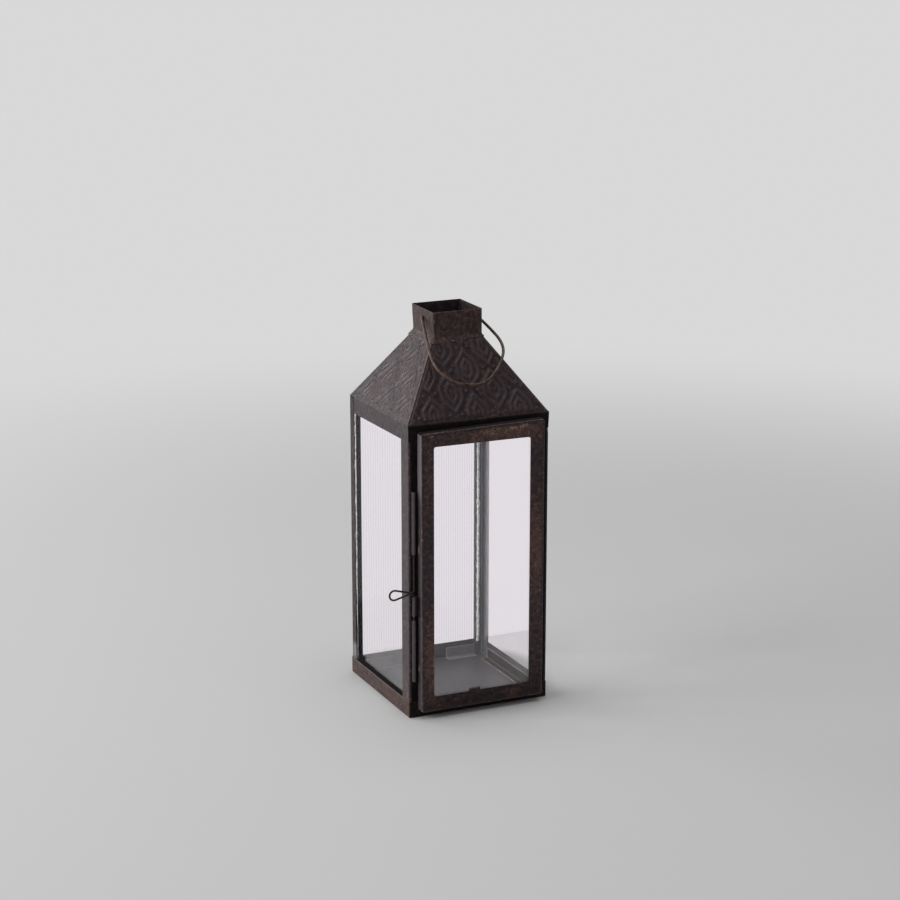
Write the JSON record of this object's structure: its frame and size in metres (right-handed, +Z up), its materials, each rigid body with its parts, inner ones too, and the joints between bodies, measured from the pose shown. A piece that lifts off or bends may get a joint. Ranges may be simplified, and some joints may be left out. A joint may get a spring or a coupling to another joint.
{
  "type": "candle lantern",
  "caption": "Square tin candle lantern with a glazed hinged door, wire bolt latch, fluted back pane, pyramid roof, open neck and swinging wire bail.",
  "frame": {"origin": "middle of the underside of the square body, on the surface it stands on", "axes": "+Z up, door towards -Y, latch at -X and door hinge at +X as seen from the front"},
  "size_m": [0.1375, 0.1282, 0.3146],
  "materials": {
    "dark_tin": "dark oxidised tin plate, rubbed through to a warmer brown at the edges",
    "latch_wire": "drawn wire, dulled and slightly brown",
    "bail_wire": "drawn wire, brown and worn smooth",
    "clear_glass": "clear, with faint grime towards the edges",
    "fluted_glass": "clear, ribbed upright on its inner face"
  },
  "bodies": {
    "frame": {"base_pan": "dark_tin", "corner_post_back_left": "dark_tin", "corner_post_back_right": "dark_tin", "corner_post_front_left": "dark_tin", "corner_post_front_right": "dark_tin", "glass_back": "fluted_glass", "glass_clips_back": "dark_tin", "glass_clips_left": "dark_tin", "glass_clips_right": "dark_tin", "glass_left": "clear_glass", "glass_rail_left": "dark_tin", "glass_rail_right": "dark_tin", "glass_right": "clear_glass", "glass_tab_back_left": "dark_tin", "glass_tab_back_right": "dark_tin", "hinge_pin": "latch_wire", "hinge_tube_lower": "dark_tin", "hinge_tube_upper": "dark_tin", "latch_tube_lower": "dark_tin", "latch_tube_upper": "dark_tin", "neck_sleeve": "dark_tin", "roof_sheet_back": "dark_tin", "roof_sheet_front": "dark_tin", "roof_sheet_left": "dark_tin", "roof_sheet_right": "dark_tin"},
    "door": {"door_frame": "dark_tin", "door_glass": "clear_glass", "door_glass_clips": "dark_tin", "latch_keeper": "dark_tin", "hinge_knuckle_door": "dark_tin"},
    "bolt": {"latch_bolt": "latch_wire"},
    "bail": {"bail": "bail_wire"}
  },
  "joints": [
    {"name": "door_hinge", "type": "hinge", "parent": "frame", "child": "door", "pos_m": [0.0541, -0.0612, 0.10685], "axis": [0, 0, 1], "range_deg": [0, 110]},
    {"name": "bolt_slide", "type": "slide", "parent": "frame", "child": "bolt", "axis": [0, 0, 1], "range_m": [0, 0.027]},
    {"name": "bail_hinge", "type": "hinge", "parent": "frame", "child": "bail", "pos_m": [0, 0, 0.3066], "axis": [-1, 0, 0], "range_deg": [0, 257]}
  ]
}
